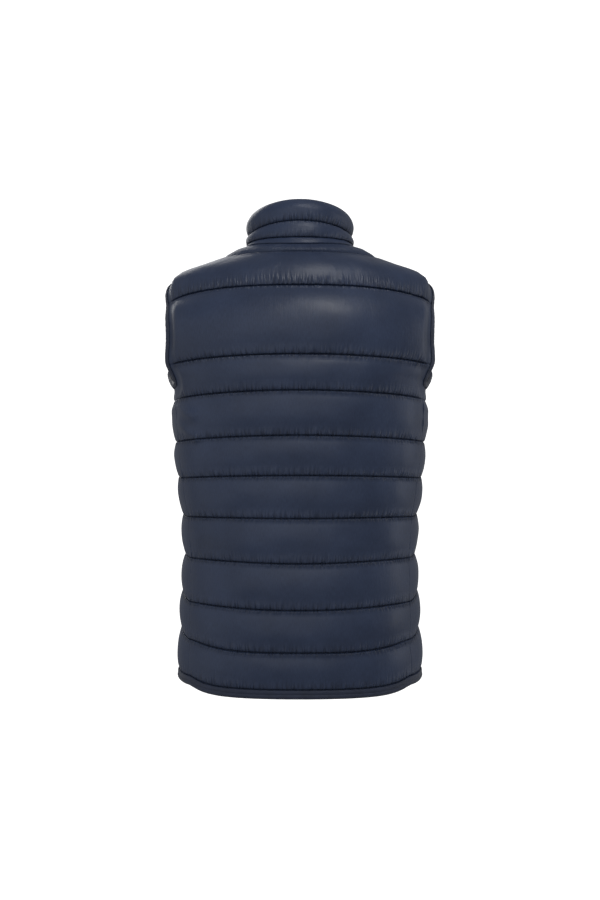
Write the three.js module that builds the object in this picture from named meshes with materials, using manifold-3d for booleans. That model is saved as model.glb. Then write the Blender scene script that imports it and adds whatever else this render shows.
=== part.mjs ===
import * as THREE from 'three';
import { mergeVertices } from 'three/addons/utils/BufferGeometryUtils.js';
import Module from 'manifold-3d';

// A padded vest in the form that it has when it is worn, with no one in it.
// Sizes are in millimetres. The origin lies between the two neck points, +Z is up,
// the front faces -Y and the wearer's left is +X.

const seamGap = 0.3;
const wall = 3;
const degree = Math.PI / 180;

// Small steps for measuring slopes, round the body and up it, and how often a search halves its range.
const angleStep = 0.25 * degree;
const levelStep = 0.5;
const shareStep = 0.01;
const halvings = 40;
const mergeTolerance = 1e-4;

// Levels of the body, from the hem up. z is the height at the centre back, side the height at the side
// seam, armhole or shoulder seam, and front the height at the front. width is half the width, back and
// chest are the depths behind and before the middle, square says how boxy the section is, and seam is how
// far behind the middle the side seam lies. ease says how late the height at the centre back gives way to
// the height at the side.
const levels = [
  [-667, -658, -654, 4, 181, 127, 124, 0, 2.35, 70],
  [-608, -598, -580, 2.3, 175, 125, 124, 0, 2.35, 67],
  [-548, -542, -523, 1.2, 173.5, 121, 122, 0, 2.35, 61],
  [-483, -478, -471, 1, 171, 116, 120, 0, 2.35, 56],
  [-418, -416, -409, 1, 175, 113, 119, 0, 2.35, 52],
  [-359, -360.5, -355, 1, 182, 113, 119, 0, 2.35, 48],
  [-300, -304, -303, 1, 187, 115, 120, 0, 2.35, 45],
  [-237, -242, -241.5, 1, 190, 118, 121, 0, 2.35, 43],
  [-210, -216, -216, 1, 193, 119, 121, 0, 2.35, 40],
  [-196, -203, -203, 1, 202, 119, 120, 0, 2.35, 40],
  [-180, -188, -188, 1, 213, 119, 119, 0, 2.3, 40],
  [-150, -157, -157, 1.2, 215, 117, 113, 0, 2.25, 40],
  [-110, -120, -120, 1.4, 211, 110, 99, 0, 2.2, 40],
  [-85, -100, -100, 1.5, 206, 102, 83, 0, 2.1, 40],
  [-60, -60, -60, 1.2, 199, 92, 67, -1, 2, 40],
  [-40, -41, -41, 1, 156, 84, 58, -3, 2, 40],
  [-26, -27, -27, 1, 132, 77, 52, -4, 2, 40],
  [-9.5, 0, 0, 1, 81, 70, 48, -5, 2, 40],
].map(([z, side, front, ease, width, back, chest, middle, square, seam]) => (
  { z, side, front, ease, width, back, chest, middle, square, seam }));
const hem = levels[0].z;
const underarm = -210;
const shoulderTip = -60;
const neckline = levels[levels.length - 1].z;

// Chambers between two stitch lines, with how far the padding rises between them.
const hemRoll = 11;
const chambers = [
  { bottom: hem, top: hem + hemRoll, puff: 0, steps: 1 },
  { bottom: hem + hemRoll, top: -605.5, puff: 6.5, steps: 5 },
  { bottom: -605.5, top: -547, puff: 7, steps: 5 },
  { bottom: -547, top: -482, puff: 7, steps: 5 },
  { bottom: -482, top: -418, puff: 6.5, steps: 5 },
  { bottom: -418, top: -356.5, puff: 6.5, steps: 5 },
  { bottom: -356.5, top: -299, puff: 6.5, steps: 5 },
  { bottom: -299, top: -234.5, puff: 7, steps: 5 },
  { bottom: -234.5, top: -183, puff: 7.5, steps: 5 },
  { bottom: -183, top: -80.5, puff: 12, steps: 8 },
  { bottom: -80.5, top: -23.5, puff: 9, steps: 7 },
  { bottom: -23.5, top: neckline, puff: 4, steps: 3 },
];
const puffRoundness = 0.6;

// The armhole's edge swings away from a line between the underarm and the shoulder tip, farthest near the
// height that lift sets: below the middle where it is less than 1.
const armhole = {
  back: { swing: 30, lift: 0.95, round: 0.8 },
  front: { swing: -78, lift: 0.7, round: 0.9 },
};

const neckHalfWidth = 81;
const neckMiddle = 5;
const frontNeckDrop = 70;
const zipHalfOpening = 9;
const frontTipHeight = -1.8;
const frontRiseEnd = 95 * degree;

// How the padding flattens near an edge: flat is a strip with no padding, reach the distance over which
// it comes up to its full height, and least the share that is left at the edge itself.
const flattening = {
  armhole: { flat: 11, reach: 30, least: 0 },
  neckline: { flat: 2, reach: 20, least: 0.4 },
  sideSeam: { flat: 0, reach: 55, least: 0.35 },
  shoulder: { flat: 0, reach: 45, least: 0.2 },
  zip: { flat: 5, reach: 25, least: 0.1 },
};
const flatMargin = 9.5;
const widestMargin = 0.3;
const backColumns = 17;
const frontColumns = 9;

// Drag folds below the left armhole, on the back, by the height and the distance from the middle.
const folds = [
  { fromX: 150, fromZ: -268, toX: 182, toZ: -252, width: 7, height: 4 },
  { fromX: 148, fromZ: -302, toX: 178, toZ: -276, width: 7, height: 4 },
];

// Rings of the collar, from the top of the neckband up: the distance from the middle at the back, side and
// front, and the height there.
const collarRings = [
  { z: 0, sideX: 79, sideY: -5, backY: 63, frontY: -75, backZ: 1.5, sideZ: 5.5, frontZ: -60 },
  { z: 0.42, sideX: 75, sideY: -6, backY: 61, frontY: -74, backZ: 27, sideZ: 20, frontZ: -32 },
  { z: 1, sideX: 70, sideY: -8, backY: 56, frontY: -74, backZ: 62, sideZ: 53, frontZ: 2 },
];
const collarChambers = [
  { bottom: 0, top: 0.42, puff: 5, steps: 4 },
  { bottom: 0.42, top: 1, puff: 9, steps: 6 },
];

const neckbandWall = { low: 2.6, middle: 4, high: 3 };
const neckbandCrest = 0.5;
const armholeBinding = { width: 8, thickness: 1.5, under: 0.6, lift: 1.2 };
const hemBinding = { width: 10.5, thickness: 2, under: 0.6, lift: 0 };

// Shape of a folded strip, in shares of its thickness and width: how far its fold stands out, where it turns
// on to the face, its crest and its leg's edge.
const fold = { out: 1.25, turnAlong: 0.8, turnUp: 0.7, crestAlong: 0.35, crestUp: 1.3, legUp: 0.8 };

// The zip, by distance from the centre line and height above the inner face of the front.
const zipTape = { inner: 3.1, outer: 8.7, low: 0.8, high: 2 };
const zipTeeth = { halfWidth: 2.8, low: 0.2, high: 3.4, bottom: 12, top: -3.3 };
const zipBox = { halfWidth: 2.8, low: -0.5, high: 4.4, bottom: 0.1, height: 11.7 };
const zipShares = [0, 0.2, 0.42, 0.7, 1];

// The slider's two plates lie before and behind the teeth and join above them. Its arch holds the pull
// tab's top bar, which turns about an axis across the zip.
const slider = {
  halfWidth: 4.5, bottom: -11, top: 1, plate: 1.5, join: -3, joinHalfWidth: 2.6, low: -1.6, high: 5.2,
};
const arch = { halfWidth: 1.5, bottom: -8.6, top: -2.6, wall: 1.2, high: 8.7, bevel: 1, sink: 0.5 };
const pull = {
  axisZ: -6.3, axisHeight: 6.3, thickness: 1.4, halfWidth: 4, length: 24, holeLength: 5, arm: 2,
  curveSegments: 8,
};

const shellCloth = new THREE.MeshStandardMaterial({ color: 0x343d52, roughness: 0.45, metalness: 0 });
const trimCloth = new THREE.MeshStandardMaterial({ color: 0x2b3345, roughness: 0.6, metalness: 0 });
const zipPlastic = new THREE.MeshStandardMaterial({ color: 0x222a3a, roughness: 0.5, metalness: 0 });
const sliderMetal = new THREE.MeshStandardMaterial({ color: 0x2a3142, roughness: 0.4, metalness: 0.6 });

function smooth(value) {
  const t = Math.min(1, Math.max(0, value));
  return t * t * (3 - 2 * t);
}

// Slope of a table's column at row k, the mean of the slopes on its two sides.
function slopeAt(table, column, k) {
  const between = (i) => (table[i + 1][column] - table[i][column]) / (table[i + 1].z - table[i].z);
  if (k === 0) return between(0);
  if (k === table.length - 1) return between(k - 1);
  return (between(k - 1) + between(k)) / 2;
}

// Value of a table's column at height z, on a smooth curve through its rows.
function along(table, column, z) {
  let k = 0;
  while (k < table.length - 2 && z > table[k + 1].z) k++;
  const step = table[k + 1].z - table[k].z;
  const t = (z - table[k].z) / step;
  const rise = slopeAt(table, column, k) * step;
  const fall = slopeAt(table, column, k + 1) * step;
  const start = table[k][column];
  const end = table[k + 1][column];
  return start * (1 + 2 * t) * (1 - t) ** 2 + rise * t * (1 - t) ** 2
    + end * t * t * (3 - 2 * t) + fall * t * t * (t - 1);
}

// Angle round the body, from the centre back, at a share of the section's width or depth.
function angleAtWidth(share, square) {
  return Math.atan2(share, (1 - share ** square) ** (1 / square));
}

function angleAtDepth(y, z) {
  const middle = along(levels, 'middle', z);
  const reach = y > middle ? along(levels, 'back', z) : along(levels, 'chest', z);
  const share = (y - middle) / reach;
  const square = along(levels, 'square', z);
  return Math.atan2((1 - Math.abs(share) ** square) ** (1 / square), share);
}

function sideAngle(z) {
  return z <= underarm ? angleAtDepth(along(levels, 'seam', z), z) : 90 * degree;
}

function heightAt(angle, z) {
  const turn = Math.abs(angle);
  const seam = sideAngle(z);
  const side = along(levels, 'side', z);
  if (turn <= seam) return z + (side - z) * smooth((turn / seam) ** along(levels, 'ease', z));
  return side + (along(levels, 'front', z) - side) * smooth((turn - seam) / (frontRiseEnd - seam));
}

// Inner face of the vest at an angle round the body and a level.
function bodyPoint(angle, z) {
  const s = Math.sin(angle);
  const c = Math.cos(angle);
  const square = along(levels, 'square', z);
  const size = (Math.abs(s) ** square + Math.abs(c) ** square) ** (-1 / square);
  const depth = along(levels, c > 0 ? 'back' : 'chest', z);
  return new THREE.Vector3(
    along(levels, 'width', z) * size * s,
    along(levels, 'middle', z) + depth * size * c,
    heightAt(angle, z),
  );
}

// Unit vector out of a surface that runs round with its first value and up with its second.
function outward(surface, angle, level, step) {
  const round = surface(angle + angleStep, level).sub(surface(angle - angleStep, level));
  const up = surface(angle, level + step).sub(surface(angle, level - step));
  return up.cross(round).normalize();
}

const bodyNormal = (angle, z) => outward(bodyPoint, angle, z, levelStep);

function armholeAngle(z, { swing, lift, round }) {
  const t = (z - underarm) / (shoulderTip - underarm);
  const away = swing * Math.max(0, Math.sin(Math.PI * t ** lift)) ** round;
  return angleAtDepth(along(levels, 'seam', underarm) * (1 - t) + away, z);
}

// Length along the section for each radian, to turn a distance into an angle.
function roundSpeed(angle, z) {
  return bodyPoint(angle + angleStep, z).distanceTo(bodyPoint(angle - angleStep, z)) / (2 * angleStep);
}

function outerAngle(z, shape) {
  if (z <= underarm || z >= shoulderTip) return sideAngle(z);
  return armholeAngle(z, shape);
}

function backEdge(z) {
  const edge = outerAngle(z, armhole.back);
  return edge - seamGap / 2 / roundSpeed(edge, z);
}

function frontEdge(z) {
  const edge = outerAngle(z, armhole.front);
  return edge + seamGap / 2 / roundSpeed(edge, z);
}

// Half the width of the neck opening at a height of the front.
function neckWidthAt(height) {
  return neckHalfWidth * Math.sqrt(1 + height / frontNeckDrop);
}

function innerEdge(z) {
  const height = along(levels, 'side', z);
  const opening = height > -frontNeckDrop ? Math.max(zipHalfOpening, neckWidthAt(height)) : zipHalfOpening;
  return Math.PI - angleAtWidth(opening / along(levels, 'width', z), along(levels, 'square', z));
}

const neckCorner = -frontNeckDrop * (1 - (zipHalfOpening / neckHalfWidth) ** 2);

// Levels of a chamber, close together near its two stitch lines.
function chamberLevels({ bottom, top, steps }) {
  const levelAt = (i) => bottom + (top - bottom) * (1 - Math.cos(Math.PI * i / steps)) / 2;
  return Array.from({ length: steps }, (_, i) => levelAt(i));
}

function findLevel(target) {
  let low = levels[levels.length - 2].z;
  let high = neckline;
  for (let i = 0; i < halvings; i++) {
    const middle = (low + high) / 2;
    if (along(levels, 'side', middle) < target) low = middle;
    else high = middle;
  }
  return (low + high) / 2;
}

const frontTip = findLevel(frontTipHeight);

// Levels that every panel has: close together at both ends of the armhole, where its edge turns fast.
const nearUnderarm = [-9, -4, 0, 1.3, 3.3, 6.5, 10.5, 14.5, 19.5].map((rise) => underarm + rise);
const nearTip = [-6, -3, -1, 0, 2.5, 6].map((rise) => shoulderTip + rise);
const fixedLevels = [...nearUnderarm, neckCorner, ...nearTip, frontTip, neckline];
const leastStep = 2.5;
const stitchLevels = chambers.map((chamber) => chamber.bottom);
const outerLevels = chambers.flatMap(chamberLevels)
  .filter((z) => stitchLevels.includes(z) || fixedLevels.every((fixed) => Math.abs(z - fixed) > leastStep))
  .concat(fixedLevels)
  .sort((a, b) => a - b);
const innerDenseFrom = -237;
const innerLevels = outerLevels.filter((z) => z >= innerDenseFrom || stitchLevels.includes(z));

// Distance from a point to the nearest place on a line of points.
function distanceTo(line, point) {
  const nearest = new THREE.Vector3();
  let least = Infinity;
  for (let i = 0; i + 1 < line.length; i++) {
    new THREE.Line3(line[i], line[i + 1]).closestPointToPoint(point, true, nearest);
    least = Math.min(least, nearest.distanceTo(point));
  }
  return least;
}

const lineSteps = 16;

function edgeLine(edge, low, high) {
  const at = (i) => low + (high - low) * (1 - Math.cos(Math.PI * i / lineSteps)) / 2;
  return Array.from({ length: lineSteps + 1 }, (_, i) => bodyPoint(edge(at(i)), at(i)));
}

const neckBack = Array.from({ length: lineSteps + 1 }, (_, i) => (
  bodyPoint(90 * degree * i / lineSteps, neckline)));
const edges = [
  { line: edgeLine(backEdge, underarm, shoulderTip), ...flattening.armhole },
  { line: edgeLine(frontEdge, underarm, shoulderTip), ...flattening.armhole },
  { line: neckBack, ...flattening.neckline },
  { line: edgeLine(innerEdge, neckCorner, frontTip), ...flattening.neckline },
  { line: edgeLine(backEdge, hem, underarm), ...flattening.sideSeam },
  { line: edgeLine(backEdge, shoulderTip, neckline), ...flattening.shoulder },
  { line: edgeLine(innerEdge, hem, neckCorner), ...flattening.zip },
];

// Share of the full padding at a point of the inner face.
function fullness(point) {
  const mirrored = new THREE.Vector3(Math.abs(point.x), point.y, point.z);
  return edges.reduce((share, { line, flat, reach, least }) => {
    const rise = smooth((distanceTo(line, mirrored) - flat) / reach);
    return share * (least + (1 - least) * rise);
  }, 1);
}

function chamberRise(list, level) {
  const chamber = list.find(({ top }) => level < top) ?? list[list.length - 1];
  const t = Math.min(1, (level - chamber.bottom) / (chamber.top - chamber.bottom));
  return chamber.puff * Math.max(0, Math.sin(Math.PI * t)) ** puffRoundness;
}

function foldRise(point) {
  return folds.reduce((total, { fromX, fromZ, toX, toZ, width, height }) => {
    const run = new THREE.Vector2(toX - fromX, toZ - fromZ);
    const away = new THREE.Vector2(point.x - fromX, point.z - fromZ);
    const t = Math.min(1, Math.max(0, away.dot(run) / run.lengthSq()));
    const off = away.sub(run.multiplyScalar(t)).length();
    return total + (point.y > 0 ? height * Math.exp(-((off / width) ** 2)) : 0);
  }, 0);
}

function paddingAt(point, z) {
  return (chamberRise(chambers, z) + foldRise(point)) * fullness(point);
}

// Angles of one row of points, with a point where the flat strip along each edge ends.
function rowAngles(from, to, z, columns) {
  const length = Math.abs(to - from) * roundSpeed((from + to) / 2, z);
  const margin = Math.min(flatMargin, widestMargin * length);
  const first = from + margin / roundSpeed(from, z);
  const last = to - margin / roundSpeed(to, z);
  const inside = Array.from({ length: columns - 1 }, (_, i) => first + (last - first) * i / (columns - 2));
  return [from, ...inside, to];
}

// Direction through the wall at the neck seam, halfway between the body's and the neckband's.
function seamDirection(point, normal) {
  return new THREE.Vector3(point.x, point.y + neckMiddle, 0).normalize().add(normal).normalize();
}

// Points of one panel's inner or outer face, row by row from the hem up.
function panelFace({ rows, from, to, columns, onNeck, thickness }) {
  return rows.map((z, i) => rowAngles(from(z), to(z), z, columns).map((angle, j) => {
    const point = bodyPoint(angle, z);
    const normal = bodyNormal(angle, z);
    const direction = onNeck(z, j) ? seamDirection(point, normal) : normal;
    return point.addScaledVector(direction, thickness(point, z));
  }));
}

function solidGeometry(points, triangles) {
  const geometry = new THREE.BufferGeometry();
  geometry.setAttribute('position', new THREE.Float32BufferAttribute(points.flatMap((p) => p.toArray()), 3));
  geometry.setIndex(triangles.flat());
  return geometry;
}

// Triangles between two lines of point numbers that run side by side, by how far along each point lies.
function stripBetween(first, second, firstPlace, secondPlace) {
  const triangles = [];
  let i = 0;
  let j = 0;
  while (i < first.length - 1 || j < second.length - 1) {
    const useFirst = j === second.length - 1
      || (i < first.length - 1 && firstPlace[i + 1] <= secondPlace[j + 1]);
    if (useFirst) triangles.push([first[i], second[j], first[++i]]);
    else triangles.push([first[i], second[j], second[++j]]);
  }
  return triangles;
}

const flipped = (triangles) => triangles.map(([a, b, c]) => [a, c, b]);

function gridTriangles(rowCount, columnCount, offset) {
  const triangles = [];
  for (let i = 0; i + 1 < rowCount; i++) {
    for (let j = 0; j + 1 < columnCount; j++) {
      const a = offset + i * columnCount + j;
      const b = a + columnCount;
      triangles.push([a, b, b + 1], [a, b + 1, a + 1]);
    }
  }
  return triangles;
}

// One closed wall between an outer and an inner face with the same columns, whose rows may differ.
function wallBetween(outer, inner, outerPlaces, innerPlaces) {
  const columns = outer[0].length;
  const innerStart = outer.length * columns;
  const rowOf = (start, i) => Array.from({ length: columns }, (_, j) => start + i * columns + j);
  const columnOf = (start, count, j) => Array.from({ length: count }, (_, i) => start + i * columns + j);
  const across = Array.from({ length: columns }, (_, j) => j);
  const left = [columnOf(0, outer.length, 0), columnOf(innerStart, inner.length, 0)];
  const right = [columnOf(0, outer.length, columns - 1), columnOf(innerStart, inner.length, columns - 1)];
  const bottom = [rowOf(0, 0), rowOf(innerStart, 0)];
  const top = [rowOf(0, outer.length - 1), rowOf(innerStart, inner.length - 1)];
  return solidGeometry([...outer.flat(), ...inner.flat()], [
    ...gridTriangles(outer.length, columns, 0),
    ...flipped(gridTriangles(inner.length, columns, innerStart)),
    ...stripBetween(...left, outerPlaces, innerPlaces),
    ...flipped(stripBetween(...right, outerPlaces, innerPlaces)),
    ...flipped(stripBetween(...bottom, across, across)),
    ...stripBetween(...top, across, across),
  ]);
}

// Triangles that fill a flat outline, turning the same way as its points do.
function fillTriangles(outline) {
  const turn = THREE.ShapeUtils.area(outline);
  return THREE.ShapeUtils.triangulateShape(outline, []).map(([a, b, c]) => {
    const same = THREE.ShapeUtils.area([outline[a], outline[b], outline[c]]) * turn > 0;
    return same ? [a, b, c] : [a, c, b];
  });
}

// One closed solid through rings of points, as a loop or with flat ends.
function solidThrough(rings, section, closed) {
  const size = rings[0].length;
  const triangles = [];
  const steps = closed ? rings.length : rings.length - 1;
  for (let i = 0; i < steps; i++) {
    const next = (i + 1) % rings.length;
    for (let j = 0; j < size; j++) {
      const k = (j + 1) % size;
      const [a, b, c, d] = [i * size + j, i * size + k, next * size + k, next * size + j];
      triangles.push([a, b, c], [a, c, d]);
    }
  }
  if (!closed) {
    const cap = fillTriangles(section);
    const last = (rings.length - 1) * size;
    triangles.push(...flipped(cap), ...cap.map((corner) => corner.map((n) => n + last)));
  }
  return solidGeometry(rings.flat(), triangles);
}

function mirroredGeometry(geometry) {
  const copy = geometry.clone().scale(-1, 1, 1);
  const index = Array.from(copy.index.array);
  for (let i = 0; i < index.length; i += 3) [index[i + 1], index[i + 2]] = [index[i + 2], index[i + 1]];
  copy.setIndex(index);
  return copy;
}

function panelWall({ from, to, columns, onNeck, highest }) {
  const outerRows = outerLevels.filter((z) => z <= highest);
  const innerRows = innerLevels.filter((z) => z <= highest);
  const shape = { from, to, columns, onNeck };
  const outer = panelFace({ ...shape, rows: outerRows, thickness: (point, z) => wall + paddingAt(point, z) });
  const inner = panelFace({ ...shape, rows: innerRows, thickness: () => 0 });
  return wallBetween(outer, inner, outerRows, innerRows);
}

const backPanel = () => panelWall({
  from: (z) => -backEdge(z),
  to: backEdge,
  columns: backColumns,
  onNeck: (z) => z === neckline,
  highest: neckline,
});

const frontPanel = () => panelWall({
  from: frontEdge,
  to: innerEdge,
  columns: frontColumns,
  onNeck: (z, j) => z >= neckCorner && j === frontColumns,
  highest: frontTip,
});

// Inner face of the collar at an angle from the centre back and a share of its height.
function collarPoint(angle, share) {
  const value = (column) => along(collarRings, column, share);
  const s = Math.sin(angle);
  const c = Math.cos(angle);
  const behind = c > 0;
  const depth = value(behind ? 'backY' : 'frontY') - value('sideY');
  const rise = value(behind ? 'backZ' : 'frontZ') - value('sideZ');
  return new THREE.Vector3(
    value('sideX') * s,
    value('sideY') + depth * Math.abs(c),
    value('sideZ') + rise * c * c,
  );
}

const collarNormal = (angle, share) => outward(collarPoint, angle, share, shareStep);

// The neck seam from the right front, round the back, to the left front, with the angle of each point.
function neckSeam() {
  const backAngles = rowAngles(-backEdge(neckline), backEdge(neckline), neckline, backColumns);
  const frontRows = outerLevels.filter((z) => z >= neckCorner && z <= frontTip);
  const frontPlaces = frontRows.map((z) => ({ round: innerEdge(z), level: z }));
  const left = frontPlaces.toReversed();
  const right = frontPlaces.map(({ round, level }) => ({ round: -round, level }));
  const back = backAngles.map((round) => ({ round, level: neckline }));
  return [...right, ...back, ...left].map(({ round, level }) => {
    const point = bodyPoint(round, level);
    const across = Math.asin(Math.min(1, Math.abs(point.x) / neckHalfWidth));
    const angle = level === neckline ? Math.abs(round) : Math.PI - across;
    const direction = seamDirection(point, bodyNormal(round, level));
    return { point, direction, angle: Math.sign(round) * angle };
  });
}

const seamPlaces = neckSeam();

// Angles of the collar's columns at one height, with the front edges at the zip's opening all the way up.
function collarAngles(share) {
  const last = Math.PI - Math.asin(zipHalfOpening / along(collarRings, 'sideX', share));
  const scale = last / seamPlaces[seamPlaces.length - 1].angle;
  return seamPlaces.map(({ angle }) => angle * scale);
}

function collarRow(share, thickness) {
  return collarAngles(share).map((angle) => {
    const point = collarPoint(angle, share);
    return point.clone().addScaledVector(collarNormal(angle, share), thickness(point));
  });
}

function collarWall() {
  const outerRows = [...collarChambers.flatMap(chamberLevels), 1];
  const innerRows = [...collarChambers.map(({ bottom }) => bottom), 1];
  const rise = (share, point) => chamberRise(collarChambers, share)
    * smooth(Math.abs(point.y > 0 ? 1 : (Math.abs(point.x) - zipHalfOpening) / flattening.zip.reach));
  const outer = outerRows.map((share) => collarRow(share, (point) => wall + rise(share, point)));
  return wallBetween(outer, innerRows.map((share) => collarRow(share, () => 0)), outerRows, innerRows);
}

// The neckband runs from the neck seam to the collar's first ring, a seam's gap inside both.
function neckbandSolid() {
  const top = collarAngles(0).map((angle) => ({
    point: collarPoint(angle, 0),
    direction: collarNormal(angle, 0),
  }));
  const row = (share, thickness) => seamPlaces.map(({ point, direction }, j) => {
    const rise = top[j].point.clone().sub(point);
    const place = point.clone().addScaledVector(rise, share).addScaledVector(
      rise.clone().normalize(), seamGap * (1 - 2 * share));
    const through = direction.clone().lerp(top[j].direction, share).normalize();
    return place.addScaledVector(through, thickness);
  });
  const { low, middle, high } = neckbandWall;
  const outer = [row(0, low), row(neckbandCrest, middle), row(1, high)];
  return wallBetween(outer, [row(0, 0), row(1, 0)], [0, neckbandCrest, 1], [0, 1]);
}

// Place on the body a short way along a direction from an angle and a level.
function placeBeside(angle, z, direction, distance) {
  const round = bodyPoint(angle + angleStep, z).sub(bodyPoint(angle - angleStep, z))
    .divideScalar(2 * angleStep);
  const up = bodyPoint(angle, z + levelStep).sub(bodyPoint(angle, z - levelStep))
    .divideScalar(2 * levelStep);
  const [rr, ru, uu] = [round.dot(round), round.dot(up), up.dot(up)];
  const [dr, du] = [round.dot(direction) * distance, up.dot(direction) * distance];
  const scale = rr * uu - ru * ru;
  return { angle: angle + (dr * uu - du * ru) / scale, level: z + (du * rr - dr * ru) / scale };
}

// Section of a folded strip that covers an edge: its leg lies on the outer face and its fold closes the
// edge. along runs from the edge into the panel and up out of the face, both in millimetres.
function bindingSection({ width, thickness, under, lift }) {
  const face = wall + seamGap;
  return [
    { along: width, up: face + lift, atLeg: true },
    { along: -seamGap, up: face },
    { along: -seamGap, up: -under },
    { along: -seamGap - thickness, up: -under },
    { along: -seamGap - thickness * fold.out, up: wall / 2 },
    { along: -thickness * fold.turnAlong, up: face + thickness * fold.turnUp },
    { along: width * fold.crestAlong, up: face + thickness * fold.crestUp },
    { along: width, up: face + lift + thickness * fold.legUp, atLeg: true },
  ];
}

function bindingRing(section, edge, leg, into) {
  return section.map(({ along: distance, up, atLeg }) => (atLeg
    ? leg.point.clone().addScaledVector(leg.normal, up)
    : edge.point.clone().addScaledVector(into, distance).addScaledVector(edge.normal, up)));
}

function placeOn({ angle, level }) {
  return { point: bodyPoint(angle, level), normal: bodyNormal(angle, level) };
}

function armholeBindingSolid() {
  const inside = outerLevels.filter((z) => z > underarm && z < shoulderTip);
  const places = [
    { angle: sideAngle(underarm), level: underarm },
    ...inside.map((z) => ({ angle: backEdge(z), level: z })),
    { angle: sideAngle(shoulderTip), level: shoulderTip },
    ...inside.toReversed().map((z) => ({ angle: frontEdge(z), level: z })),
  ];
  const section = bindingSection(armholeBinding);
  const rings = places.map((place, i) => {
    const before = places[(i + places.length - 1) % places.length];
    const after = places[(i + 1) % places.length];
    const edge = placeOn(place);
    const run = placeOn(after).point.sub(placeOn(before).point);
    const into = run.cross(edge.normal).normalize();
    const leg = placeOn(placeBeside(place.angle, place.level, into, armholeBinding.width));
    return bindingRing(section, edge, leg, into);
  });
  return solidThrough(rings, section, true);
}

function hemBindingSolid() {
  const back = rowAngles(-backEdge(hem), backEdge(hem), hem, backColumns).slice(1, -1);
  const front = rowAngles(frontEdge(hem), innerEdge(hem), hem, frontColumns).slice(1);
  const right = front.toReversed().map((angle) => -angle);
  const angles = [...right, -sideAngle(hem), ...back, sideAngle(hem), ...front];
  const section = bindingSection(hemBinding);
  const rings = angles.map((angle) => {
    const edge = placeOn({ angle, level: hem });
    const leg = placeOn({ angle, level: hem + hemBinding.width });
    const into = leg.point.clone().sub(edge.point).normalize();
    return bindingRing(section, edge, leg, into);
  });
  return solidThrough(rings, section.map(({ along: x, up }) => new THREE.Vector2(x, up)), false);
}

// Places up the centre front, from the hem to the top of the collar.
function zipPlaces() {
  const body = stitchLevels.filter((z) => z < neckCorner);
  return [
    ...[...body, neckCorner].map((z) => ({ point: bodyPoint(Math.PI, z), normal: bodyNormal(Math.PI, z) })),
    ...zipShares.map((share) => (
      { point: collarPoint(Math.PI, share), normal: collarNormal(Math.PI, share) })),
  ];
}

// A strip up the centre front, between two distances across and two heights above the face.
function zipStrip(places, fromX, toX, low, high) {
  const corners = [[fromX, low], [fromX, high], [toX, high], [toX, low]];
  const rings = places.map(({ point, normal }) => corners.map(([x, height]) => (
    new THREE.Vector3(x, point.y, point.z).addScaledVector(normal, height))));
  return solidThrough(rings, corners.map(([x, y]) => new THREE.Vector2(x, y)), false);
}

// Part of the places between two heights, with new places at both ends.
function placesBetween(places, bottom, top) {
  const at = (height) => {
    const k = places.findIndex(({ point }) => point.z > height);
    const [before, after] = [places[k - 1], places[k]];
    const t = (height - before.point.z) / (after.point.z - before.point.z);
    return {
      point: before.point.clone().lerp(after.point, t),
      normal: before.normal.clone().lerp(after.normal, t).normalize(),
    };
  };
  return [at(bottom), ...places.filter(({ point }) => point.z > bottom && point.z < top), at(top)];
}

const wasm = await Module();
wasm.setup();

function toManifold(geometry) {
  const bare = geometry.clone();
  bare.deleteAttribute('normal');
  bare.deleteAttribute('uv');
  const merged = mergeVertices(bare, mergeTolerance);
  return new wasm.Manifold(new wasm.Mesh({
    numProp: 3,
    vertProperties: new Float32Array(merged.attributes.position.array),
    triVerts: new Uint32Array(merged.index.array),
  }));
}

function fromManifold(solid) {
  const { vertProperties, triVerts } = solid.getMesh();
  const geometry = new THREE.BufferGeometry();
  geometry.setAttribute('position', new THREE.Float32BufferAttribute(vertProperties, 3));
  geometry.setIndex(Array.from(triVerts));
  return geometry;
}

// An outline of heights above the face and heights up the zip, extruded across the centre line.
function acrossZip(outline, halfWidth, face) {
  const shape = new THREE.Shape(outline.map(([height, z]) => new THREE.Vector2(z, height)));
  const solid = new THREE.ExtrudeGeometry(shape, { depth: 2 * halfWidth, bevelEnabled: false });
  const axes = new THREE.Matrix4().makeBasis(
    new THREE.Vector3(0, 0, 1), new THREE.Vector3(0, -1, 0), new THREE.Vector3(1, 0, 0));
  return solid.applyMatrix4(axes).translate(-halfWidth, face, 0);
}

function sliderSolid(face) {
  const { bottom, top, plate, join, low, high } = slider;
  const edge = plate / 2;
  const plates = [[low, low + plate], [high, high - plate]].map(([outer, inner]) => toManifold(acrossZip([
    [inner, bottom], [inner, top], [(inner + outer) / 2, top], [outer, top - edge], [outer, bottom + edge],
    [(inner + outer) / 2, bottom],
  ], slider.halfWidth, face)));
  const post = toManifold(acrossZip([
    [low + edge, join], [high - edge, join], [high - edge, top - edge], [low + edge, top - edge],
  ], slider.joinHalfWidth, face));
  const loop = acrossZip([
    [high - arch.sink, arch.bottom], [arch.high - arch.bevel, arch.bottom],
    [arch.high, arch.bottom + arch.bevel],
    [arch.high, arch.top - arch.bevel], [arch.high - arch.bevel, arch.top], [high - arch.sink, arch.top],
  ], arch.halfWidth, face);
  const hole = acrossZip([
    [high, arch.bottom + arch.wall], [arch.high - arch.wall, arch.bottom + arch.wall],
    [arch.high - arch.wall, arch.top - arch.wall], [high, arch.top - arch.wall],
  ], arch.halfWidth + 1, face);
  const body = plates[0].add(plates[1]).add(post);
  return fromManifold(body.add(toManifold(loop)).subtract(toManifold(hole)));
}

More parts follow.
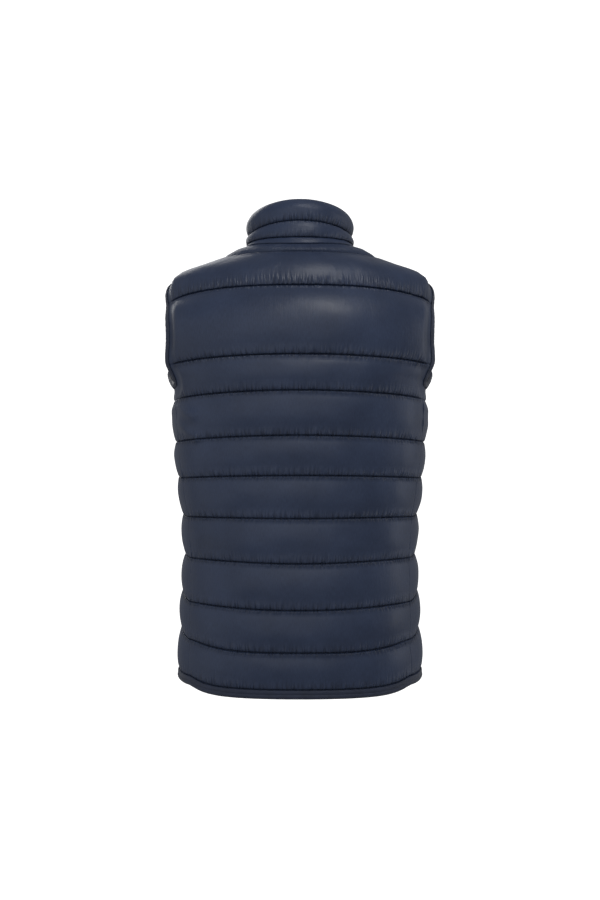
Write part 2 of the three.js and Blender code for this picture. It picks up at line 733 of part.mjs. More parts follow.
// The pull tab hangs from its top bar, with a hole for the arch and a rounded lower end.
function pullSolid(face) {
  const { halfWidth, length, thickness, holeLength, arm, curveSegments } = pull;
  const bar = thickness / 2;
  const outline = new THREE.Shape();
  outline.moveTo(-halfWidth, bar);
  outline.lineTo(-halfWidth, -length + halfWidth);
  outline.absarc(0, -length + halfWidth, halfWidth, Math.PI, 2 * Math.PI, false);
  outline.lineTo(halfWidth, bar);
  const side = halfWidth - arm;
  const hole = new THREE.Path([
    [-side, -bar], [side, -bar], [side, -holeLength], [-side, -holeLength],
  ].map(([x, z]) => new THREE.Vector2(x, z)));
  outline.holes.push(hole);
  const solid = new THREE.ExtrudeGeometry(outline, { depth: thickness, bevelEnabled: false, curveSegments });
  return solid.rotateX(Math.PI / 2).translate(0, face - pull.axisHeight + bar, pull.axisZ);
}

const group = new THREE.Group();

function addPiece(name, geometry, material) {
  const mesh = new THREE.Mesh(geometry, material);
  mesh.name = name;
  group.add(mesh);
}

function addPair(name, geometry, material) {
  addPiece(`${name}_left`, geometry, material);
  addPiece(`${name}_right`, mirroredGeometry(geometry), material);
}

addPiece('back', backPanel(), shellCloth);
addPair('front', frontPanel(), shellCloth);
addPiece('neckband', neckbandSolid(), shellCloth);
addPiece('collar', collarWall(), shellCloth);
addPair('armhole_binding', armholeBindingSolid(), trimCloth);
addPiece('hem_binding', hemBindingSolid(), trimCloth);

const places = zipPlaces();
const zipFoot = places[0].point.z;
const zipFace = collarPoint(Math.PI, 1).y;
const teethPlaces = placesBetween(places, zipFoot + zipTeeth.bottom, zipTeeth.top);
const boxPlaces = placesBetween(places, zipFoot + zipBox.bottom, zipFoot + zipBox.height);
addPair('zip_tape', zipStrip(places, zipTape.inner, zipTape.outer, zipTape.low, zipTape.high), trimCloth);
addPiece('zip_chain', zipStrip(teethPlaces, -zipTeeth.halfWidth, zipTeeth.halfWidth, zipTeeth.low,
  zipTeeth.high), zipPlastic);
addPiece('zip_box', zipStrip(boxPlaces, -zipBox.halfWidth, zipBox.halfWidth, zipBox.low,
  zipBox.high), zipPlastic);
addPiece('zip_slider', sliderSolid(zipFace), sliderMetal);
addPiece('zip_pull', pullSolid(zipFace), sliderMetal);

export default group;
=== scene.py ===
from math import pi
import bmesh
import bpy
import numpy as np
from mathutils import Matrix, Vector


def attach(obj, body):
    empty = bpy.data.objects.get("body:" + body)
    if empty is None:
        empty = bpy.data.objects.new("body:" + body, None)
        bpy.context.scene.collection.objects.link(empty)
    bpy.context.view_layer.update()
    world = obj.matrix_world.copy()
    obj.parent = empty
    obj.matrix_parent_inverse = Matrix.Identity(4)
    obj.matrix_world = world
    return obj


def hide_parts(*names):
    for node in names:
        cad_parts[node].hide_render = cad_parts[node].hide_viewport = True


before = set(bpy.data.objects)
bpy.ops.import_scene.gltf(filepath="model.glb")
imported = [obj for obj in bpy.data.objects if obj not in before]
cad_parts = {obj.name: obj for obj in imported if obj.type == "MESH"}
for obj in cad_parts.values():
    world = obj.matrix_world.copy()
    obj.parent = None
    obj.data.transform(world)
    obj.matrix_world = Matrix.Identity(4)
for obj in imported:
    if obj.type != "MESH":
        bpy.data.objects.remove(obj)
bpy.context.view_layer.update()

mm = 0.001  # the vest is measured in millimetres, the scene in metres
seamGap = 0.3
wall = 3.0
degree = pi / 180
# small steps for measuring slopes: round the body, up it, and up the collar
angleStep, levelStep, shareStep = 0.5 * degree, 0.5, 0.01
frontRiseEnd = 95 * degree  # where the front's lines reach their full height

# Body form: height at the centre back, at the side and at the front, how late the first gives way to the
# second, half width, depths behind and before the middle, the middle itself, how boxy the section is, and
# how far back the side seam lies.
columns = ["z", "side", "front", "ease", "width", "back", "chest", "middle", "square", "seam"]
levels = np.array([
    (-667, -658, -654, 4, 181, 127, 124, 0, 2.35, 70), (-608, -598, -580, 2.3, 175, 125, 124, 0, 2.35, 67),
    (-548, -542, -523, 1.2, 173.5, 121, 122, 0, 2.35, 61), (-483, -478, -471, 1, 171, 116, 120, 0, 2.35, 56),
    (-418, -416, -409, 1, 175, 113, 119, 0, 2.35, 52), (-359, -360.5, -355, 1, 182, 113, 119, 0, 2.35, 48),
    (-300, -304, -303, 1, 187, 115, 120, 0, 2.35, 45), (-237, -242, -241.5, 1, 190, 118, 121, 0, 2.35, 43),
    (-210, -216, -216, 1, 193, 119, 121, 0, 2.35, 40), (-196, -203, -203, 1, 202, 119, 120, 0, 2.35, 40),
    (-180, -188, -188, 1, 213, 119, 119, 0, 2.3, 40), (-150, -157, -157, 1.2, 215, 117, 113, 0, 2.25, 40),
    (-110, -120, -120, 1.4, 211, 110, 99, 0, 2.2, 40), (-85, -100, -100, 1.5, 206, 102, 83, 0, 2.1, 40),
    (-60, -60, -60, 1.2, 199, 92, 67, -1, 2, 40), (-40, -41, -41, 1, 156, 84, 58, -3, 2, 40),
    (-26, -27, -27, 1, 132, 77, 52, -4, 2, 40), (-9.5, 0, 0, 1, 81, 70, 48, -5, 2, 40)])
chambers = np.array([  # bottom, top and how far the padding rises between the two stitch lines
    (-667, -656, 0), (-656, -605.5, 6.5), (-605.5, -547, 7), (-547, -482, 7), (-482, -418, 6.5),
    (-418, -356.5, 6.5), (-356.5, -299, 6.5), (-299, -234.5, 7), (-234.5, -183, 7.5), (-183, -80.5, 12),
    (-80.5, -23.5, 9), (-23.5, -9.5, 4)])
hem, underarm, shoulderTip, neckline = -667.0, -210.0, -60.0, -9.5
neckHalfWidth, frontNeckDrop, zipHalfOpening = 81.0, 70.0, 9.0
neckCorner = -frontNeckDrop * (1 - (zipHalfOpening / neckHalfWidth) ** 2)
armholeCuts = {"back": (30, 0.95, 0.8), "front": (-78, 0.7, 0.9)}  # swing, lift and roundness


def together(a, b):  # two arrays of the same form
    return np.broadcast_arrays(np.asarray(a, float), np.asarray(b, float))


def smooth(value):
    t = np.clip(value, 0, 1)
    return t * t * (3 - 2 * t)


def curveThrough(table, column, z):
    x, y = table[:, 0], table[:, column]
    between = np.diff(y) / np.diff(x)
    slope = np.concatenate([between[:1], (between[1:] + between[:-1]) / 2, between[-1:]])
    k = np.clip(np.searchsorted(x, z, side="left") - 1, 0, len(x) - 2)
    step = x[k + 1] - x[k]
    t = (z - x[k]) / step
    return (y[k] * (1 + 2 * t) * (1 - t) ** 2 + slope[k] * step * t * (1 - t) ** 2
            + y[k + 1] * t * t * (3 - 2 * t) + slope[k + 1] * step * t * t * (t - 1))


def bodyValue(name, z):
    return curveThrough(levels, columns.index(name), z)


def angleAtDepth(y, z):
    middle, square = bodyValue("middle", z), bodyValue("square", z)
    reach = np.where(y > middle, bodyValue("back", z), bodyValue("chest", z))
    share = np.clip((y - middle) / reach, -1, 1)
    return np.arctan2((1 - np.abs(share) ** square) ** (1 / square), share)


def sideAngle(z):
    return np.where(z <= underarm, angleAtDepth(bodyValue("seam", z), z), pi / 2)


def bodyPoint(angle, z):  # inner face of the vest, by the angle from the centre back and the level
    angle, z = together(angle, z)
    s, c = np.sin(angle), np.cos(angle)
    square = bodyValue("square", z)
    size = (np.abs(s) ** square + np.abs(c) ** square) ** (-1 / square)
    depth = np.where(c > 0, bodyValue("back", z), bodyValue("chest", z))
    turn, seam, side = np.abs(angle), sideAngle(z), bodyValue("side", z)
    behind = z + (side - z) * smooth((turn / seam) ** bodyValue("ease", z))
    before = side + (bodyValue("front", z) - side) * smooth((turn - seam) / (frontRiseEnd - seam))
    height = np.where(turn <= seam, behind, before)
    return np.stack([bodyValue("width", z) * size * s, bodyValue("middle", z) + depth * size * c, height], -1)


def unit(vectors):
    return vectors / np.linalg.norm(vectors, axis=-1, keepdims=True)


def lengthsAlong(points):  # from the first point of a line to each of them
    return np.concatenate([[0], np.cumsum(np.linalg.norm(np.diff(points, axis=0), axis=1))])


def pickAt(places, along, values):  # points or directions at places along a line
    return np.stack([np.interp(places, along, v) for v in values.T], -1)


def flatPlace(along, up):  # place on the flat cloth, for the weave
    return np.stack([along, up, np.zeros(len(up))], -1)


def closeAtEnds(t, dense):  # shares from 0 to 1, closer together at both ends
    return t - dense * np.sin(2 * pi * t) / (2 * pi)


def sideFlip(mirror):
    return np.array([[-1 if mirror else 1, 1, 1]])


def onLeft(points):  # each point, or its mirror image on the vest's left side
    return points * np.where(points[:, :1] < 0, sideFlip(True), sideFlip(False))


def outward(surface, angle, level, rise):
    level = np.asarray(level, float)
    across = surface(angle + angleStep, level) - surface(angle - angleStep, level)
    up = surface(angle, level + rise) - surface(angle, level - rise)
    return unit(np.cross(up, across))


def bodyNormal(angle, z):
    return outward(bodyPoint, np.asarray(angle, float), z, levelStep)


def roundSpeed(angle, z):  # millimetres round the section for each radian
    step = angleStep / 2
    return np.linalg.norm(bodyPoint(angle + step, z) - bodyPoint(angle - step, z), axis=-1) / (2 * step)


def outerAngle(z, cut):
    swing, lift, roundness = armholeCuts[cut]
    t = np.clip((z - underarm) / (shoulderTip - underarm), 0, 1)
    away = swing * np.maximum(0, np.sin(pi * t ** lift)) ** roundness
    seam = bodyValue("seam", np.array(underarm))
    return np.where((z <= underarm) | (z >= shoulderTip), sideAngle(z),
                    angleAtDepth(seam * (1 - t) + away, z))


def backEdge(z):
    edge = outerAngle(z, "back")
    return edge - seamGap / 2 / roundSpeed(edge, z)


def frontEdge(z):
    edge = outerAngle(z, "front")
    return edge + seamGap / 2 / roundSpeed(edge, z)


def innerEdge(z):
    height = bodyValue("side", z)
    neck = neckHalfWidth * np.sqrt(np.clip(1 + height / frontNeckDrop, 0, None))
    opening = np.where(height > -frontNeckDrop, np.maximum(zipHalfOpening, neck), zipHalfOpening)
    share, square = np.clip(opening / bodyValue("width", z), 0, 1), bodyValue("square", z)
    return pi - np.arctan2(share, (1 - share ** square) ** (1 / square))


frontTipHeight = -1.8  # end of the front at the neck
nearNeck = np.linspace(levels[-2, 0], neckline, 2000)
frontTip = float(nearNeck[np.argmin(np.abs(bodyValue("side", nearNeck) - frontTipHeight))])


def edgeLine(edge, low, high, count):
    z = low + (high - low) * (1 - np.cos(pi * np.arange(count + 1) / count)) / 2
    return bodyPoint(edge(z), z)


neckBackLine = bodyPoint(np.arange(13) * 7.5 * degree, neckline)
neckFrontLine = edgeLine(innerEdge, neckCorner, frontTip, 12)
edges = [  # line, flat strip beside it, reach of the rise, and the share left at the edge
    (edgeLine(backEdge, underarm, shoulderTip, 20), 10, 26, 0),
    (edgeLine(frontEdge, underarm, shoulderTip, 20), 10, 26, 0),
    (neckBackLine, 2, 20, 0.4),
    (neckFrontLine, 2, 20, 0.4),
    (edgeLine(backEdge, hem, underarm, 12), 0, 50, 0.35),
    (edgeLine(backEdge, shoulderTip, neckline, 6), 0, 40, 0.2),
    (edgeLine(innerEdge, hem, neckCorner, 12), 5, 22, 0.1)]


def distanceTo(line, points):
    least = np.full(len(points), 1e9)
    for start, end in zip(line[:-1], line[1:]):
        run = end - start
        t = np.clip((points - start) @ run / (run @ run), 0, 1)
        least = np.minimum(least, np.linalg.norm(points - start - t[:, None] * run, axis=1))
    return least


def fullness(points):
    mirrored = onLeft(points)
    share = np.ones(len(points))
    for line, flat, reach, least in edges:
        share *= least + (1 - least) * smooth((distanceTo(line, mirrored) - flat) / reach)
    return share


# creases, from seeded noise
latticeSize = 256
lattices = np.random.default_rng(11).uniform(-1, 1, (8, latticeSize, latticeSize))


def noise(which, x, y):
    x, y = together(x, y)
    i, j = np.floor(x).astype(int), np.floor(y).astype(int)
    u, v = smooth(x - i), smooth(y - j)
    at = lambda a, b: lattices[which][(j + b) % latticeSize, (i + a) % latticeSize]
    low = at(0, 0) * (1 - u) + at(1, 0) * u
    return low * (1 - v) + (at(0, 1) * (1 - u) + at(1, 1) * u) * v


cushion = {
    "roundness": 0.6,       # how square the padding's section is between two stitch lines
    "puckerHeight": 1.0,    # creases that run off a stitch line
    "puckerSpacing": 3.0,   # half the distance from one crease to the next
    "grooveDepth": 0.65, "grooveWidth": 1.0,                  # where the thread pulls the cloth in
    "reachAbove": 8.0, "reachBelow": 5.0,
    "warp": 1.3, "warpSpacing": 31.0,       # how far a crease wanders from its place
    "strength": 0.62, "strengthChange": 0.55, "strengthSpacing": 26.0, "start": 1.8,
    "fullHeight": 45.0,                     # creases are weaker in a chamber lower than this
    "lumpHeight": 0.7, "lumpWidth": 30.0, "lumpRise": 21.0,  # uneven down filling
    "pullHeight": 0.12, "pullSpacing": 9.0, "pullLength": 33.0,  # long soft pulls up and down a chamber
    "neckFrom": -40.0, "neckGroove": 1.8,                 # the groove is deepest below the collar
    "fineAbove": 8.5, "fineBelow": 4.5, "fineBelowShare": 1.1,  # reach of the creases in the finish
    "cleanWidth": 1.6, "cleanShare": 0.25,                   # the thread's own line stays clean
}
dragFolds = [((150, -268), (182, -252), 7, 4), ((148, -302), (178, -276), 7, 4)]  # below the left armhole
arcAngles = np.linspace(0, pi, 400)
arcLengths = lengthsAlong(bodyPoint(arcAngles, -420.0))


def roundLength(angle):  # millimetres round the body from the centre back
    return np.sign(angle) * np.interp(np.abs(angle), arcAngles, arcLengths)


def chamberOf(table, level):
    k = np.clip(np.searchsorted(table[:, 0], level, side="right") - 1, 0, len(table) - 1)
    return k, np.clip((level - table[k, 0]) / (table[k, 1] - table[k, 0]), 0, 1)


def puckers(length, fromBottom, fromTop, k, seed):  # the factors on a line's number only set lines apart
    p = cushion
    total = 0
    for distance, reach, line in ((fromBottom, p["reachAbove"], k), (fromTop, p["reachBelow"], k + 1)):
        warp = p["warp"] * noise(3, length / p["warpSpacing"], line * 5.3 + seed)
        ridge = noise(0, length / p["puckerSpacing"] + warp, line * 7.31 + seed + distance / 16)
        patch = noise(4, length / p["strengthSpacing"], line * 3.7 + seed)
        strong = p["strength"] + p["strengthChange"] * patch
        total = total + ridge * strong * np.exp(-(distance / reach) ** 2) * smooth(distance / p["start"])
    return total * p["puckerHeight"]


def paddingAt(angle, z, points, seed):
    p = cushion
    length = roundLength(angle)
    k, t = chamberOf(chambers, z)
    low, high, puff = chambers[k, 0], chambers[k, 1], chambers[k, 2]
    rise = puff * np.maximum(0, np.sin(pi * t)) ** p["roundness"]
    middle = np.sin(pi * t) * np.minimum(1, puff / 6)
    lumps = p["lumpHeight"] * noise(1, length / p["lumpWidth"] + 9.1 * k, z / p["lumpRise"] + seed)
    pulls = p["pullHeight"] * noise(2, length / p["pullSpacing"], z / p["pullLength"] + seed + 5 * k)
    creases = puckers(length, z - low, high - z, k, seed) * np.minimum(1, puff / 5)
    creases = creases * np.minimum(1, (high - low) / p["fullHeight"])
    folds = 0
    for (x0, z0), (x1, z1), width, height in dragFolds:
        run = np.array([x1 - x0, z1 - z0])
        away = points[:, [0, 2]] - (x0, z0)
        s = np.clip(away @ run / (run @ run), 0, 1)
        off = np.linalg.norm(away - s[:, None] * run, axis=1)
        folds = folds + np.where(points[:, 1] > 0, height * np.exp(-(off / width) ** 2), 0)
    full = fullness(points)
    edge = np.minimum(1, full * 2.2)
    groove = p["grooveDepth"] * np.exp(-(np.minimum(z - low, high - z) / p["grooveWidth"]) ** 2)
    groove = groove * ((z > hem + 8) & (z < neckline - 4))
    groove = groove * np.where(z > p["neckFrom"], p["neckGroove"], 1.0)
    return (rise + folds) * full + (lumps + pulls) * middle * full + creases * edge - groove


def creaseShare(table, level, scale=1.0):  # how strongly fine creases show, by the distance to a stitch line
    p = cushion
    k, _ = chamberOf(table, level)
    above, below = (level - table[k, 0]) * scale, (table[k, 1] - level) * scale
    near = np.maximum(np.exp(-(above / p["fineAbove"]) ** 2),
                      p["fineBelowShare"] * np.exp(-(below / p["fineBelow"]) ** 2))
    crisp = smooth(np.minimum(above, below) / p["cleanWidth"] + p["cleanShare"])
    return near * crisp * np.minimum(1, table[k, 2] / 3) * np.minimum(1, (above + below) / 40)


def seamDirection(points, normals):
    flat = points * (1, 1, 0) + (0, 5, 0)
    return unit(unit(flat) + normals)


def outerPoint(angle, z, seed, extra=0.0):  # outer face of a padded panel
    angle, z = together(angle, z)
    points, normals = bodyPoint(angle, z), bodyNormal(angle, z)
    mirrored = onLeft(points)
    neck = np.minimum(distanceTo(neckBackLine, mirrored), distanceTo(neckFrontLine, mirrored))
    lean = (1 - smooth(neck / 9))[:, None]
    direction = unit(normals * (1 - lean) + seamDirection(points, normals) * lean)
    return points + direction * (wall + extra + paddingAt(angle, z, points, seed))[:, None]


# mesh helpers
def chamberRows(table, step, fixed, dense=0.75):  # levels close together near each stitch line
    rows = []
    for low, high, _ in table:
        count = max(2, round((high - low) / step))
        t = np.arange(count) / count
        rows += list(low + (high - low) * closeAtEnds(t, dense))
    rows = np.array(rows + [table[-1, 1]])
    for level in fixed:
        inside = np.abs(rows - level)
        inside[[0, -1]] = 1e9
        if not np.any(np.isclose(rows, level)):
            rows[np.argmin(inside)] = level
    return np.sort(rows)


def addGrid(bm, columnCount, rowCount, place, clothMap, creaseMap=None, finish=0):
    layer = bm.verts.layers.float_vector.get("cloth") or bm.verts.layers.float_vector.new("cloth")
    crease = bm.verts.layers.float.get("crease") or bm.verts.layers.float.new("crease")
    verts = bmesh.ops.create_grid(bm, x_segments=columnCount, y_segments=rowCount, size=1)["verts"]
    spots = np.array([v.co[:2] for v in verts])
    across = np.rint((spots[:, 0] + 1) / 2 * columnCount).astype(int)
    up = np.rint((spots[:, 1] + 1) / 2 * rowCount).astype(int)
    points = place(across, up) * mm
    lay = clothMap(across, up) * mm
    strength = creaseMap(across, up) if creaseMap else np.zeros(len(up))
    for v, point, mapped, strong in zip(verts, points, lay, strength):
        v.co = point
        v[layer] = mapped
        v[crease] = strong
    for face in {f for v in verts for f in v.link_faces}:
        face.material_index = finish
    return [e for e in {e for v in verts for e in v.link_edges} if e.is_boundary]


def addObject(name, data):
    made = bpy.data.objects.new(name, data)
    bpy.context.scene.collection.objects.link(made)
    return made


def meshObject(bm, name, materials, turnOut=True, shadeSmooth=True):
    if turnOut:
        bmesh.ops.recalc_face_normals(bm, faces=bm.faces)
    mesh = bpy.data.meshes.new(name)
    bm.to_mesh(mesh)
    bm.free()
    for material in materials:
        mesh.materials.append(material)
    mesh.polygons.foreach_set("use_smooth", [shadeSmooth] * len(mesh.polygons))
    return addObject(name, mesh)


def dress(made, body, slot, *nodes):
    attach(made, body)
    if nodes:
        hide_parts(*nodes)
    count = sum(len(p.vertices) - 2 for p in made.data.polygons)
    area = sum(p.area for p in made.data.polygons)
    print(f"{made.name}: {count} triangles, {area:.4f} square metres")
    return made


# finishes
def linear(hexColour):  # sRGB hex to the linear colour that the shader takes
    parts = [int(hexColour[i:i + 2], 16) / 255 for i in (1, 3, 5)]
    return [c / 12.92 if c <= 0.04045 else ((c + 0.055) / 1.055) ** 2.4 for c in parts] + [1.0]


def feed(tree, node, sources):
    for key, source in sources.items():
        tree.links.new(source, node.inputs[key])


def addNode(tree, kind, settings=None, links=None):
    node = tree.nodes.new(kind)
    for key, value in (settings or {}).items():
        if hasattr(node, key):
            setattr(node, key, value)
        else:
            node.inputs[key].default_value = value
    feed(tree, node, links or {})
    return node


def newFinish(name, settings):
    material = bpy.data.materials.new(name)
    material.use_nodes = True
    tree = material.node_tree
    shader = tree.nodes["Principled BSDF"]
    for key, value in settings.items():
        shader.inputs[key].default_value = value
    return material, tree, shader


def rampBetween(tree, source, low, high, dark, light):
    ramp = addNode(tree, "ShaderNodeValToRGB", {}, {"Fac": source})
    for stop, position, colour in zip(ramp.color_ramp.elements, (low, high), (dark, light)):
        stop.position, stop.color = position, linear(colour)
    return ramp


def shellNylon(name, dark, light, gloss):
    # Downproof nylon taffeta, plain woven and calendered: a tight fine weave with a soft satin gloss that
    # breaks up in fine creases. Threads are 0.15 mm apart, drawn at 1.1 mm so that they show.
    material, tree, shader = newFinish(name, {
        "Metallic": 0.0, "IOR": 1.53, "Specular IOR Level": gloss,
        "Sheen Weight": 0.05, "Sheen Roughness": 0.4, "Sheen Tint": linear("#aab4cc")})
    cloth = addNode(tree, "ShaderNodeAttribute", {"attribute_name": "cloth"})
    onCloth = {"Vector": cloth.outputs["Vector"]}
    place = addNode(tree, "ShaderNodeTexCoord")
    cloud = addNode(tree, "ShaderNodeTexNoise", {"Scale": 16.0, "Detail": 4.0, "Roughness": 0.55},
                    {"Vector": place.outputs["Object"]})
    shade = rampBetween(tree, cloud.outputs["Fac"], 0.3, 0.72, dark, light)
    # gathers at the stitch lines: 3 to 5 mm apart, long up and down, with painted shade darkening their
    # folds, fading away from the thread into faint pulls that run on up the cloth
    crease = addNode(tree, "ShaderNodeAttribute", {"attribute_name": "crease"})
    near = addNode(tree, "ShaderNodeMath", {"operation": "MAXIMUM"}, {0: crease.outputs["Fac"]})
    near.inputs[1].default_value = 0.03

    def pulledLong(share):  # the cloth's own places, drawn out up and down it
        return addNode(tree, "ShaderNodeMapping", {"Scale": (1.0, share, 1.0)}, onCloth).outputs["Vector"]

    gather = addNode(tree, "ShaderNodeTexNoise", {"Scale": 330.0, "Detail": 1.0, "Roughness": 0.5},
                     {"Vector": pulledLong(0.12)})
    gathered = addNode(tree, "ShaderNodeMath", {"operation": "MULTIPLY"},
                       {0: gather.outputs["Fac"], 1: near.outputs[0]})
    # painted shade: the base colour is mixed towards #121827 in the gathers' valleys near the stitch lines,
    # standing in for the shade that falls in the folds
    fold = addNode(tree, "ShaderNodeMapRange", {"From Min": 0.52, "From Max": 0.4, "To Max": 0.5},
                   {"Value": gather.outputs["Fac"]})
    shadow = addNode(tree, "ShaderNodeMath", {"operation": "MULTIPLY"},
                     {0: fold.outputs["Result"], 1: crease.outputs["Fac"]})
    deep = addNode(tree, "ShaderNodeMixRGB", {"Color2": linear("#121827")},
                   {"Fac": shadow.outputs[0], "Color1": shade.outputs["Color"]})
    threads = addNode(tree, "ShaderNodeTexNoise", {"Scale": 900.0, "Detail": 2.0, "Roughness": 0.6},
                      {"Vector": pulledLong(0.16)})
    fleck = addNode(tree, "ShaderNodeMixRGB", {"blend_type": "SOFT_LIGHT", "Fac": 0.35},
                    {"Color1": deep.outputs["Color"], "Color2": threads.outputs["Fac"]})
    rough = addNode(tree, "ShaderNodeMapRange",
                    {"From Min": 0.3, "From Max": 0.7, "To Min": 0.35, "To Max": 0.43},
                    {"Value": cloud.outputs["Fac"]})
    warp, weft = (addNode(tree, "ShaderNodeTexWave", {
        "bands_direction": way, "Scale": 286.0, "Distortion": 0.3}, onCloth) for way in "XY")
    weave = addNode(tree, "ShaderNodeMath", {"operation": "MULTIPLY"},
                    {0: warp.outputs["Fac"], 1: weft.outputs["Fac"]})
    crumple = addNode(tree, "ShaderNodeTexNoise", {"Scale": 170.0, "Detail": 5.0, "Roughness": 0.6},
                      {"Vector": pulledLong(0.32)})
    fineBump = addNode(tree, "ShaderNodeBump", {"Strength": 0.12, "Distance": 0.0003},
                    {"Height": weave.outputs[0]})
    threadBump = addNode(tree, "ShaderNodeBump", {"Strength": 0.2, "Distance": 0.0004},
                         {"Height": threads.outputs["Fac"], "Normal": fineBump.outputs["Normal"]})
    crumpleBump = addNode(tree, "ShaderNodeBump", {"Strength": 0.12, "Distance": 0.0012},
                          {"Height": crumple.outputs["Fac"], "Normal": threadBump.outputs["Normal"]})
    gatherBump = addNode(tree, "ShaderNodeBump", {"Strength": 1.0, "Distance": 0.0055},
                         {"Height": gathered.outputs[0], "Normal": crumpleBump.outputs["Normal"]})
    feed(tree, shader, {"Base Color": fleck.outputs["Color"], "Roughness": rough.outputs["Result"],
                        "Normal": gatherBump.outputs["Normal"]})
    return material


def cloudedFinish(name, settings, cloudSettings, clouds, dark, light, roughness):
    material, tree, shader = newFinish(name, settings)
    place = {"Vector": addNode(tree, "ShaderNodeTexCoord").outputs["Object"]}
    cloud = addNode(tree, "ShaderNodeTexNoise", cloudSettings, place)
    shade = rampBetween(tree, cloud.outputs["Fac"], *clouds, dark, light)
    rough = addNode(tree, "ShaderNodeMapRange", {"To Min": roughness[0], "To Max": roughness[1]},
                    {"Value": cloud.outputs["Fac"]})
    feed(tree, shader, {"Base Color": shade.outputs["Color"], "Roughness": rough.outputs["Result"]})
    return material, tree, shader, place


def foldedTape(name, dark, light, ribSpacing):
    # Folded nylon strip and woven zip tape: duller than the shell, with close ribs across its length.
    material, tree, shader, place = cloudedFinish(name, {
        "Metallic": 0.0, "IOR": 1.53, "Specular IOR Level": 0.35,
        "Sheen Weight": 0.15, "Sheen Roughness": 0.5},
        {"Scale": 60.0, "Detail": 4.0}, (0.3, 0.7), dark, light, (0.5, 0.66))
    ribs = addNode(tree, "ShaderNodeTexWave", {"bands_direction": "Z", "Scale": 0.314 / (ribSpacing * mm),
                                               "Distortion": 1.2, "Detail": 2.0}, place)
    grain = addNode(tree, "ShaderNodeTexNoise", {"Scale": 1400.0, "Detail": 2.0}, place)
    ribBump = addNode(tree, "ShaderNodeBump", {"Strength": 0.3, "Distance": 0.0004},
                    {"Height": ribs.outputs["Fac"]})
    grainBump = addNode(tree, "ShaderNodeBump", {"Strength": 0.25, "Distance": 0.0003},
                        {"Height": grain.outputs["Fac"], "Normal": ribBump.outputs["Normal"]})
    feed(tree, shader, {"Normal": grainBump.outputs["Normal"]})
    return material


def hardFinish(name, dark, light, metallic, roughness, speckle, depth):
    # Moulded acetal teeth, or die-cast zinc under baked paint: even colour, a fine mould or paint texture.
    material, tree, shader, place = cloudedFinish(
        name, {"Metallic": metallic, "IOR": 1.48, "Specular IOR Level": 0.5},
        {"Scale": 240.0, "Detail": 3.0}, (0.35, 0.7), dark, light, roughness)
    grain = addNode(tree, "ShaderNodeTexNoise", {"Scale": speckle, "Detail": 2.0}, place)
    bump = addNode(tree, "ShaderNodeBump", {"Strength": 0.2, "Distance": depth},
                    {"Height": grain.outputs["Fac"]})
    feed(tree, shader, {"Normal": bump.outputs["Normal"]})
    return material


calenderedNylon = shellNylon("calendered_nylon_taffeta", "#28334b", "#303c56", 0.32)
liningNylon = shellNylon("plain_nylon_lining", "#222c41", "#2a354b", 0.25)
bindingNylon = foldedTape("folded_nylon_binding", "#1d263a", "#262f46", 1.6)
zipTapeCloth = foldedTape("woven_polyester_zip_tape", "#20273a", "#283047", 0.9)
stitchThread = foldedTape("spun_polyester_thread", "#1e263a", "#2a3349", 0.6)
acetalTeeth = hardFinish("moulded_acetal_teeth", "#1c2333", "#242c3e", 0.0, (0.38, 0.5), 900.0, 0.0002)
paintedZinc = hardFinish("baked_paint_on_zinc", "#222a3c", "#2a3246", 0.35, (0.28, 0.4), 1500.0, 0.0001)
print("finishes made")

# camera, light and floor
view = {"distance": 1.45, "height": -0.384, "focal": 37.44, "sensor": 36.0, "tilt": 2.75}
cameraData = bpy.data.cameras.new("photoCamera")
cameraData.sensor_width, cameraData.lens = view["sensor"], view["focal"]
cameraData.clip_end = 50
camera = addObject("photoCamera", cameraData)
camera.location = (0, view["distance"], view["height"])
camera.rotation_euler = ((90 + view["tilt"]) * degree, 0, pi)
bpy.context.scene.camera = camera

studio = {
    "world": 0.3,
    "lamps": [  # name, place, size, watts
        ("keySoftbox", (-0.3, 1.15, 1.05), 0.4, 6.4), ("leftSoftbox", (2.1, 1.0, -0.2), 2.4, 7),
        ("rightSoftbox", (-2.2, 0.1, 0.0), 1.6, 7), ("farSoftbox", (0.6, -1.9, 1.0), 1.6, 16),
        ("frontSoftbox", (0.3, 1.6, 0.3), 1.5, 4.6)],
    "aim": (0, 0, -0.3), "floorHeight": -1.8, "paper": "#ffffff"}
world = bpy.data.worlds.new("paleStudio")
bpy.context.scene.world = world
world.use_nodes = True
sky = world.node_tree.nodes["Background"]
sky.inputs["Color"].default_value = (1, 1, 1, 1)
sky.inputs["Strength"].default_value = studio["world"]
for name, place, size, power in studio["lamps"]:
    lampData = bpy.data.lights.new(name, "AREA")
    lampData.shape, lampData.size, lampData.energy = "SQUARE", size, power
    lamp = addObject(name, lampData)
    lamp.location = place
    lamp.rotation_euler = (Vector(studio["aim"]) - Vector(place)).to_track_quat("-Z", "Y").to_euler()
bpy.context.scene.view_settings.view_transform = "Standard"

paper = newFinish("white_studio_paper", {
    "Roughness": 0.9, "Specular IOR Level": 0.1, "Base Color": linear(studio["paper"]),
    "Emission Color": (1, 1, 1, 1), "Emission Strength": 1.0})[0]
floorMesh = bmesh.new()
bmesh.ops.create_grid(floorMesh, x_segments=2, y_segments=2, size=14,
                      matrix=Matrix.Translation((0, 0, studio["floorHeight"])))
floor = meshObject(floorMesh, "studioFloor", [paper], turnOut=False, shadeSmooth=False)
dome = bmesh.new()  # paper all round, so that every view has the same plain ground
bmesh.ops.create_uvsphere(dome, u_segments=32, v_segments=16, radius=12)
backdrop = meshObject(dome, "studioBackdrop", [paper], turnOut=False)
for sheetOfPaper in (floor, backdrop):  # the paper shows, and the lamps alone light the vest
    sheetOfPaper.visible_diffuse = sheetOfPaper.visible_glossy = sheetOfPaper.visible_shadow = False
print("camera, light and floor made")


